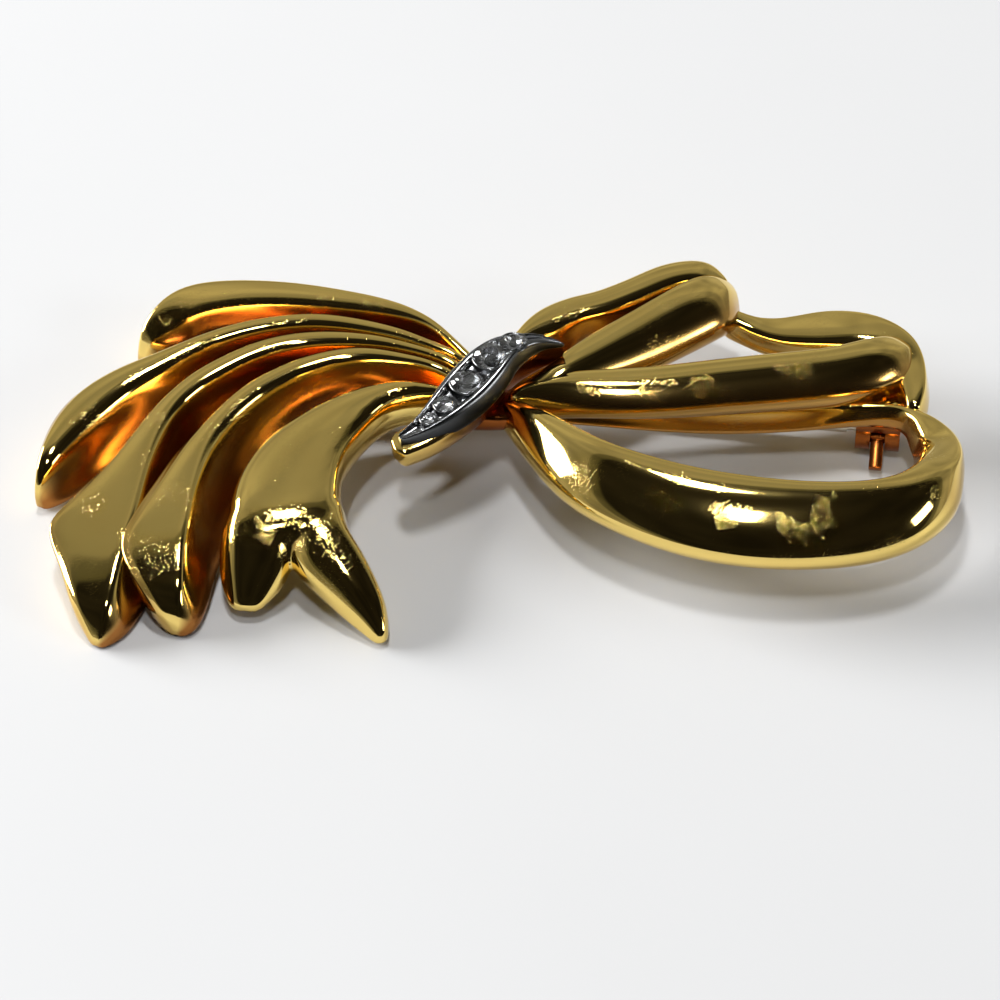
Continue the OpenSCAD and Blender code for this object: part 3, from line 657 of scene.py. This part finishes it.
def knot_rings(section, rows=KNOT, steps=2):
    """Rings along the knot: section(row) gives distance to the left, height and shade."""
    path = smooth_rows(rows, steps)
    rings = []
    for i, row in enumerate(path):
        run = knot_place(path[min(i + 1, len(path) - 1)]) - knot_place(path[max(i - 1, 0)])
        run.z = 0
        run.normalize()
        place = knot_place(row)
        rings.append([
            (place.x - side * run.y, place.y + side * run.x, place.z + height, shade)
            for side, height, shade in section(row)])
    return rings


# Node helpers

class Sheet:
    """Places nodes in a tree from left to right and links them."""

    def __init__(self, tree):
        self.tree = tree
        self.count = 0

    def add(self, kind, inputs=None, **settings):
        node = self.tree.nodes.new(kind)
        node.location = (self.count * 180, 0)
        self.count += 1
        for key, value in settings.items():
            setattr(node, key, value)
        for key, value in (inputs or {}).items():
            if isinstance(value, bpy.types.NodeSocket):
                self.tree.links.new(value, node.inputs[key])
            else:
                node.inputs[key].default_value = value
        return node

    def calculate(self, operation, *values):
        inputs = dict(enumerate(values))
        return self.add("ShaderNodeMath", inputs, operation=operation).outputs[0]

    def ramp(self, factor, stops):
        node = self.add("ShaderNodeValToRGB", {"Fac": factor})
        elements = node.color_ramp.elements
        while len(elements) < len(stops):
            elements.new(1)
        for element, (position, tone) in zip(elements, stops):
            element.position = position
            element.color = colour(tone if isinstance(tone, tuple) else (tone, tone, tone))
        return node.outputs["Color"]


def group(name, inputs, outputs):
    """A new node group with named sockets, and its sheet, input node and output node."""
    tree = bpy.data.node_groups.new(name, "ShaderNodeTree")
    for label, kind, default in inputs:
        socket = tree.interface.new_socket(label, in_out="INPUT", socket_type=kind)
        if default is not None:
            socket.default_value = default
    for label, kind in outputs:
        tree.interface.new_socket(label, in_out="OUTPUT", socket_type=kind)
    sheet = Sheet(tree)
    return tree, sheet, sheet.add("NodeGroupInput"), sheet.add("NodeGroupOutput")


FLOAT, COLOUR, VECTOR = "NodeSocketFloat", "NodeSocketColor", "NodeSocketVector"
WHITE = (1, 1, 1, 1)


def polish_marks():
    """Fine scratches, pits and the slight waves that hand polishing leaves, as a height."""
    tree, sheet, given, out = group(
        "Polish marks",
        [("Vector", VECTOR, None), ("Waves", FLOAT, .5), ("Scratches", FLOAT, .3),
         ("Pits", FLOAT, .3)],
        [("Height", FLOAT), ("Haze", FLOAT)])
    place = given.outputs["Vector"]
    waves = sheet.add("ShaderNodeTexNoise", {"Vector": place, "Scale": 380, "Detail": 1})
    where = sheet.add("ShaderNodeTexNoise", {"Vector": place, "Scale": 330, "Detail": 1})
    worn = sheet.ramp(where.outputs["Fac"], [(.46, 0), (.62, 1)])
    scored = []
    for turn in ((.3, .2, .7), (.1, -.4, -.5)):
        turned = sheet.add(
            "ShaderNodeMapping",
            {"Vector": place, "Rotation": turn, "Scale": (1 / 500, 1 / 12000, 1 / 12000)},
            vector_type="TEXTURE")
        lines = sheet.add(
            "ShaderNodeTexNoise", {"Vector": turned.outputs[0], "Scale": 1, "Detail": 1})
        scored.append(sheet.ramp(lines.outputs["Fac"], [(.66, 0), (.72, 1)]))
    thin = sheet.calculate("MULTIPLY", sheet.calculate("MAXIMUM", *scored), worn)
    dots = sheet.add("ShaderNodeTexNoise", {"Vector": place, "Scale": 8000, "Detail": 2})
    grain = sheet.ramp(dots.outputs["Fac"], [(.56, 0), (.72, 1)])
    pits = sheet.calculate("MULTIPLY", grain, worn)
    wave_height = sheet.calculate("MULTIPLY", waves.outputs["Fac"], given.outputs["Waves"])
    line_depth = sheet.calculate("MULTIPLY", thin, given.outputs["Scratches"])
    pit_depth = sheet.calculate("MULTIPLY", pits, given.outputs["Pits"])
    scratched = sheet.calculate("SUBTRACT", wave_height, line_depth)
    height = sheet.calculate("SUBTRACT", scratched, pit_depth)
    haze = sheet.calculate("MULTIPLY", sheet.calculate("MAXIMUM", line_depth, pit_depth), .12)
    tree.links.new(height, out.inputs["Height"])
    tree.links.new(haze, out.inputs["Haze"])
    return tree


def tone_drift():
    """Two tones of one metal, mixed in soft patches, and a painted shade tone in its recesses."""
    tree, sheet, given, out = group(
        "Tone drift",
        [("Vector", VECTOR, None), ("Tone", COLOUR, WHITE), ("Other tone", COLOUR, WHITE),
         ("Recess tone", COLOUR, WHITE), ("Recess", FLOAT, 0), ("Scale", FLOAT, 300),
         ("Amount", FLOAT, .3)],
        [("Color", COLOUR)])
    noise = sheet.add("ShaderNodeTexNoise", {"Vector": given.outputs["Vector"],
                                             "Scale": given.outputs["Scale"], "Detail": 4})
    patch = sheet.ramp(noise.outputs["Fac"], [(.38, 0), (.68, 1)])
    share = sheet.calculate("MULTIPLY", patch, given.outputs["Amount"])
    mix = sheet.add(
        "ShaderNodeMix", {"Factor": share, "A": given.outputs["Tone"],
                          "B": given.outputs["Other tone"]}, data_type="RGBA")
    # Painted shade: the third tone, mixed in as far as the recesses' input says
    deep = sheet.add(
        "ShaderNodeMix", {"Factor": given.outputs["Recess"], "A": mix.outputs["Result"],
                          "B": given.outputs["Recess tone"]}, data_type="RGBA")
    tree.links.new(deep.outputs["Result"], out.inputs["Color"])
    return tree


def use_group(sheet, tree, **inputs):
    """A shared group in a material, with its own values."""
    node = sheet.add("ShaderNodeGroup", node_tree=tree)
    for key, value in inputs.items():
        socket = node.inputs[key.replace("_", " ")]
        if isinstance(value, bpy.types.NodeSocket):
            sheet.tree.links.new(value, socket)
        else:
            socket.default_value = value
    return node


def colour(tone):
    return (*tone, 1)


def shade_of(tone, share):
    return [share * level for level in tone]


def new_material(name):
    material = bpy.data.materials.new(name)
    material.use_nodes = True
    tree = material.node_tree
    tree.nodes.clear()
    sheet = Sheet(tree)
    place = sheet.add("ShaderNodeTexCoord").outputs["Object"]
    shader = sheet.add("ShaderNodeBsdfPrincipled")
    out = sheet.add("ShaderNodeOutputMaterial")
    tree.links.new(shader.outputs["BSDF"], out.inputs["Surface"])
    return material, sheet, place, shader


def shared_group(name, maker):
    return bpy.data.node_groups.get(name) or maker()


def metal(name, tones, rough, waves, scratches, pits):
    """A polished metal with marks of wear. Tones: its own, the one it drifts to, its recesses'
    painted shade.
    """
    material, sheet, place, shader = new_material(name)
    link = sheet.tree.links.new
    shader.inputs["Metallic"].default_value = 1
    # How much painted shade each point takes
    groove = sheet.add("ShaderNodeAttribute", attribute_name="groove")
    tone, other, shade_tone = (colour(value) for value in tones)
    tint = use_group(
        sheet, shared_group("Tone drift", tone_drift), Vector=place, Tone=tone, Other_tone=other,
        Recess_tone=shade_tone, Recess=groove.outputs["Fac"], Scale=260, Amount=.2)
    link(tint.outputs["Color"], shader.inputs["Base Color"])
    marks = use_group(
        sheet, shared_group("Polish marks", polish_marks), Vector=place, Waves=waves,
        Scratches=scratches, Pits=pits)
    dull = sheet.calculate("MULTIPLY_ADD", groove.outputs["Fac"], .9, marks.outputs["Haze"])
    haze = sheet.add("ShaderNodeMapRange", {
        "Value": dull, "From Max": 1, "To Min": rough, "To Max": rough + .2})
    link(haze.outputs["Result"], shader.inputs["Roughness"])
    relief = sheet.add("ShaderNodeBump", {
        "Height": marks.outputs["Height"], "Strength": 1, "Distance": RELIEF})
    link(relief.outputs["Normal"], shader.inputs["Normal"])
    return material


def gold_material():
    own = finishes()
    # Its third tone is the gold's painted shade
    return bpy.data.materials.get("Gold tone") or metal(
        "Gold tone", (own.gold, own.gold_warm, own.gold_shade), rough=.06, waves=3.2,
        scratches=.6, pits=.4)


def plate_material():
    own = finishes().plate
    # The third tone is painted shade, for the plate's dark side
    return metal("Dark plate", (own, shade_of(own, .7), shade_of(own, .12)), rough=.2, waves=1.5,
                 scratches=.8, pits=.8)


def pin_material():
    own = finishes().pin
    # The third tone is painted shade
    return metal("Pin wire", (own, shade_of(own, .8), shade_of(own, .5)), rough=.2, waves=.4,
                 scratches=.8, pits=.3)


def two_toned(name, tone, other, scale, amount, **values):
    """A material of two tones in soft patches, with plain values on the shader's other sockets."""
    material, sheet, place, shader = new_material(name)
    tint = use_group(
        sheet, shared_group("Tone drift", tone_drift), Vector=place, Tone=colour(tone),
        Other_tone=colour(other), Scale=scale, Amount=amount)
    sheet.tree.links.new(tint.outputs["Color"], shader.inputs["Base Color"])
    for key, value in values.items():
        shader.inputs[key.replace("_", " ")].default_value = value
    return material


def stone_material():
    return two_toned("Clear stone", (.97, .98, 1), (.88, .90, .93), 900, .5,
                     Transmission_Weight=1, IOR=1.6, Roughness=.01)


def foil_material():
    return two_toned("Stone foil", (.95, .96, .97), (.50, .51, .53), 2400, 1,
                     Metallic=1, Roughness=.17)


def floor_material():
    own = finishes().floor
    return two_toned("Pale floor", own, shade_of(own, .97), 14, .8,
                     Roughness=.6, Specular_IOR_Level=.3)


# The pieces

class BROOCH_OT_casting(bpy.types.Operator):
    """Models the gold bow: tails, loops, the knot under the plate and the solid middle"""

    bl_idname = "brooch.casting"
    bl_label = "Gold casting"

    def execute(self, context):
        bow = sizes()
        front = blend(join("front_tail", [
            ribbon(name, TAILS[name], bow.tail_width) for name in FRONT_TAIL]),
            SKIN_CELL, SKIN_ROUNDS)
        parts = [front]
        parts += [ribbon(name, rows, bow.tail_width) for name, rows in TAILS.items()
                  if name not in FRONT_TAIL]
        parts += [ribbon(name, rows, bow.loop_width) for name, rows in LOOPS.items()]
        parts += [self.knot_base(), self.core(), self.pad(-PIN_LENGTH * bow.length, HINGE_PAD),
                  self.pad(0, CATCH_PAD)]
        piece = smooth(join("bow", parts), angle=50)
        dress(piece, gold_material())
        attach(piece, "brooch")
        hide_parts("bow_casting")
        return {"FINISHED"}

    def knot_base(self):
        """The gold under the plate: hidden in the middle, and a rounded curl at the front tip."""
        profile = BASE_PROFILE + [(-out, down) for out, down in BASE_PROFILE[-2:0:-1]]

        def section(row):
            wide = row[BROAD] * knot().plate_width / 2 + row[LIP] * knot().lip
            top, deep = -row[THICK] * knot().plate_thick, row[DEPTH] * knot().base
            # Each point takes the row's painted shade
            return [(out * wide, top - down * deep, row[SHADE]) for out, down in profile]
        return subdivide(extrude_rings("knot_base", knot_rings(section, KNOT + [CURL])), 2)

    def core(self):
        """The solid middle behind the knot: three posts and the skin stretched round them."""
        half = knot().length / 2
        posts = []
        for post in CORE_POSTS:
            begin()
            bpy.ops.mesh.primitive_cylinder_add(
                vertices=12, radius=post[BROAD] * knot().plate_width, depth=CORE_THICK,
                location=(post[AT_X] * half, post[AT_Y] * half, CORE_HEIGHT))
            posts.append(applied())
        whole = join("core", posts)
        bpy.ops.object.mode_set(mode="EDIT")
        bpy.ops.mesh.select_all(action="SELECT")
        bpy.ops.mesh.convex_hull()
        bpy.ops.object.mode_set(mode="OBJECT")
        # The core is painted wholly in shade
        return paint_shade(subdivide(whole, 3), 1)

    def pad(self, along_pin, size):
        """A flat pad under the ribbons for a soldered foot."""
        begin()
        high = sizes().crest
        turn = Matrix.Rotation(-PIN_TURN, 4, "Z")
        middle = catch_middle() + turn @ Vector((along_pin, 0, (PAD_LOW + PAD_HIGH) / 2 * high))
        bpy.ops.mesh.primitive_cube_add(
            size=1, location=middle, rotation=(0, 0, -PIN_TURN),
            scale=(size[0] * MM, size[1] * MM, (PAD_HIGH - PAD_LOW) * high))
        return bevel(applied(), PAD_EDGE)


class BROOCH_OT_plate(bpy.types.Operator):
    """Models the dark set plate with its two polished rims"""

    bl_idname = "brooch.plate"
    bl_label = "Set plate"

    def execute(self, context):
        parts = [subdivide(extrude_rings("plate", knot_rings(self.section, steps=3)), 2)]
        parts += [self.seat(k, share) for k, share, _ in STONES]
        parts += self.grains()
        piece = smooth(join("plate", parts), angle=40)
        dress(piece, plate_material())
        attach(piece, "brooch")
        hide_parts("knot_plate")
        return {"FINISHED"}

    def section(self, row):
        """Half of the plate's section from its middle out to its edge and down, then mirrored."""
        wide = row[BROAD] * knot().plate_width / 2
        deep = PLATE_DEPTH * row[THICK] * knot().plate_thick
        rim = min(RIM_WIDTH, RIM_MOST * wide)
        sink = min(PLATE_SINK, SINK_MOST * deep, SINK_MOST * wide)
        half = [(wide + out * rim, up * sink, shade) for out, up, shade in RIM_PROFILE]
        # The flared side and the underside take full painted shade
        half += [(wide + SIDE_FLARE * rim, -down * deep, 1) for down in SIDE_DOWN]
        return ([(0, -sink, 0)] + half + [(0, -deep, 1)]
                + [(-side, height, shade) for side, height, shade in half[::-1]])

    def seat(self, k, share):
        """The thin collar round a stone."""
        size = share * knot().stone
        begin()
        bpy.ops.mesh.primitive_torus_add(
            location=knot_place(along(KNOT, k)) + Vector((0, 0, -SEAT_SINK * size)),
            major_segments=40, minor_segments=10, major_radius=.5 * size + SEAT_GAP,
            minor_radius=SEAT_WIRE)
        return applied()

    def grains(self):
        """The beads raised from the plate to hold the stones: one bead, copied along both sides."""
        begin()
        bpy.ops.mesh.primitive_uv_sphere_add(segments=20, ring_count=12, radius=GRAIN_RADIUS)
        bead = bpy.context.object
        beads = []
        for k in GRAINS:
            row = along(KNOT, k)
            ahead = knot_place(along(KNOT, k + .2)) - knot_place(row)
            across = Vector((-ahead.y, ahead.x, 0)).normalized()
            out = GRAIN_OUT * row[BROAD] * knot().plate_width / 2
            for side in (-1, 1):
                place = knot_place(row) + side * out * across + Vector((0, 0, -GRAIN_SINK))
                beads.append(placed_copy(bead, "bead", place))
        bpy.data.objects.remove(bead)
        return beads


class BROOCH_OT_stones(bpy.types.Operator):
    """Cuts the five clear stones, each with table, crown, girdle and foiled point"""

    bl_idname = "brooch.stones"
    bl_label = "Stones"

    def execute(self, context):
        cut = dress(self.cut(knot().stone), stone_material())
        cut.data.materials.append(foil_material())
        for face in cut.data.polygons:
            face.material_index = int(face.normal.z < FOIL_NORMAL)
        for number, (k, share, lean) in enumerate(STONES, 1):
            place = knot_place(along(KNOT, k))
            piece = placed_copy(cut, f"set_stone_{number}", place, share)
            self.lean(piece, place, math.radians(lean))
            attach(piece, "brooch")
            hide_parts(f"stone_{number}")
        bpy.data.objects.remove(cut)
        return {"FINISHED"}

    def lean(self, piece, place, angle):
        choose(piece)
        bpy.ops.object.mode_set(mode="EDIT")
        bpy.ops.mesh.select_all(action="SELECT")
        bpy.ops.transform.rotate(value=-angle, orient_axis="X", center_override=place)
        bpy.ops.object.mode_set(mode="OBJECT")

    def cut(self, size):
        """The largest stone, of which the others are smaller copies."""
        rings = []
        for radii_and_heights in CUT:
            radii, heights = radii_and_heights[:2], radii_and_heights[2:]
            ring = []
            for i in range(CUT_CORNERS):
                turn = math.radians(360 / CUT_CORNERS * i)
                radius, height = radii[i % 2], heights[i % 2]
                ring.append((radius * size * math.cos(turn), radius * size * math.sin(turn),
                             height * size))
            rings.append(ring)
        return extrude_rings("cut_stone", rings)


class BROOCH_OT_findings(bpy.types.Operator):
    """Rounds and finishes the hinge, rivet, pin, catch and lever"""

    bl_idname = "brooch.findings"
    bl_label = "Pin and catch"

    def execute(self, context):
        for node, name, body, edge in FINDINGS:
            piece = self.refined(node, name, edge)
            # The hinge, catch and lever are painted wholly in shade
            dress(paint_shade(piece, 1), gold_material())
            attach(piece, body)
            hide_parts(node)
        dress(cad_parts["hinge_rivet"], gold_material())
        dress(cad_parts["pin_stem"], pin_material())
        return {"FINISHED"}

    def refined(self, node, name, edge):
        """A copy of a plain piece, merged, with its sharp edges rounded."""
        begin()
        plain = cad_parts[node]
        piece = bpy.data.objects.new(name, plain.data.copy())
        piece.data.name = name
        bpy.context.scene.collection.objects.link(piece)
        piece.matrix_world = plain.matrix_world
        choose(piece)
        bpy.ops.object.mode_set(mode="EDIT")
        bpy.ops.mesh.select_all(action="SELECT")
        bpy.ops.mesh.remove_doubles(threshold=.001 * MM)
        bpy.ops.object.mode_set(mode="OBJECT")
        return smooth(bevel(piece, edge, angle=40), angle=35)


class BROOCH_OT_stage(bpy.types.Operator):
    """Lays the floor and sets the lights and the camera"""

    bl_idname = "brooch.stage"
    bl_label = "Stage"

    def execute(self, context):
        begin()
        bpy.ops.mesh.primitive_plane_add(size=FLOOR_SIZE, location=(0, 0, -FLOOR_DROP))
        floor = dress(applied(), floor_material())
        floor.name = "floor"
        self.camera(context.scene)
        self.room(context.scene)
        for lamp in LAMPS:
            self.lamp(*lamp)
        context.scene.view_settings.view_transform = "Standard"
        return {"FINISHED"}

    def camera(self, scene):
        back = Vector((0, -1, 1)).normalized()
        data = bpy.data.cameras.new("camera")
        data.sensor_width = CAMERA_SENSOR
        data.lens = CAMERA_SENSOR * CAMERA_LENS
        data.clip_start = .005
        camera = bpy.data.objects.new("camera", data)
        camera.location = CAMERA_AIM + back * CAMERA_AWAY * MM
        camera.rotation_mode = "QUATERNION"
        camera.rotation_quaternion = (-back).to_track_quat("-Z", "Y")
        scene.collection.objects.link(camera)
        scene.camera = camera

    def lamp(self, name, place, size, power):
        data = bpy.data.lights.new(name, "AREA")
        data.shape = "RECTANGLE"
        data.size, data.size_y = size
        data.energy = power
        lamp = bpy.data.objects.new(name, data)
        lamp.location = place
        lamp.rotation_mode = "QUATERNION"
        lamp.rotation_quaternion = (-Vector(place)).to_track_quat("-Z", "Y")
        bpy.context.scene.collection.objects.link(lamp)

    def room(self, scene):
        """A soft room, dark overhead and behind the viewer, with slow changes like furniture."""
        world = bpy.data.worlds.new("room")
        world.use_nodes = True
        tree = world.node_tree
        tree.nodes.clear()
        sheet = Sheet(tree)
        way = sheet.add("ShaderNodeTexCoord").outputs["Generated"]
        toward = sheet.add("ShaderNodeVectorMath", {0: way, 1: Vector(DARK_SIDE).normalized()},
                           operation="DOT_PRODUCT")
        share = sheet.add("ShaderNodeMapRange", {
            "Value": toward.outputs["Value"], "From Min": -1, "From Max": 1})
        tone = sheet.ramp(share.outputs["Result"], ROOM)
        shapes = sheet.add("ShaderNodeTexNoise", {"Vector": way, "Scale": 3.4, "Detail": 1})
        stir = sheet.add("ShaderNodeMapRange", {
            "Value": shapes.outputs["Fac"], "From Min": .3, "From Max": .75, "To Min": .75,
            "To Max": 1.5})
        glow = sheet.add("ShaderNodeBackground", {
            "Color": tone, "Strength": stir.outputs["Result"]})
        out = sheet.add("ShaderNodeOutputWorld")
        tree.links.new(glow.outputs[0], out.inputs["Surface"])
        scene.world = world


class BROOCH_PT_panel(bpy.types.Panel):
    """Lists the brooch's pieces and sizes"""

    bl_idname = "BROOCH_PT_panel"
    bl_label = "Bow Brooch"
    bl_space_type = "VIEW_3D"
    bl_region_type = "UI"
    bl_category = "Bow Brooch"

    def draw(self, context):
        for group_name in ("bow_sizes", "knot_sizes", "finishes"):
            box = self.layout.box()
            settings = getattr(context.scene, group_name)
            for key in settings.bl_rna.properties.keys():
                if key not in ("rna_type", "name"):
                    box.prop(settings, key)
        for operator in OPERATORS:
            self.layout.operator(operator.bl_idname)


GROUPS = {"bow_sizes": BowSizes, "knot_sizes": KnotSizes, "finishes": Finishes}
OPERATORS = (
    BROOCH_OT_casting, BROOCH_OT_plate, BROOCH_OT_stones, BROOCH_OT_findings, BROOCH_OT_stage)


def register():
    for kind in (*GROUPS.values(), *OPERATORS, BROOCH_PT_panel):
        bpy.utils.register_class(kind)
    for name, kind in GROUPS.items():
        setattr(bpy.types.Scene, name, bpy.props.PointerProperty(type=kind))


def unregister():
    for name in GROUPS:
        delattr(bpy.types.Scene, name)
    for kind in (BROOCH_PT_panel, *OPERATORS[::-1], *GROUPS.values()):
        bpy.utils.unregister_class(kind)


def main():
    register()
    bpy.ops.brooch.casting()
    bpy.ops.brooch.plate()
    bpy.ops.brooch.stones()
    bpy.ops.brooch.findings()
    bpy.ops.brooch.stage()
    begin()


if __name__ == "__main__":
    main()
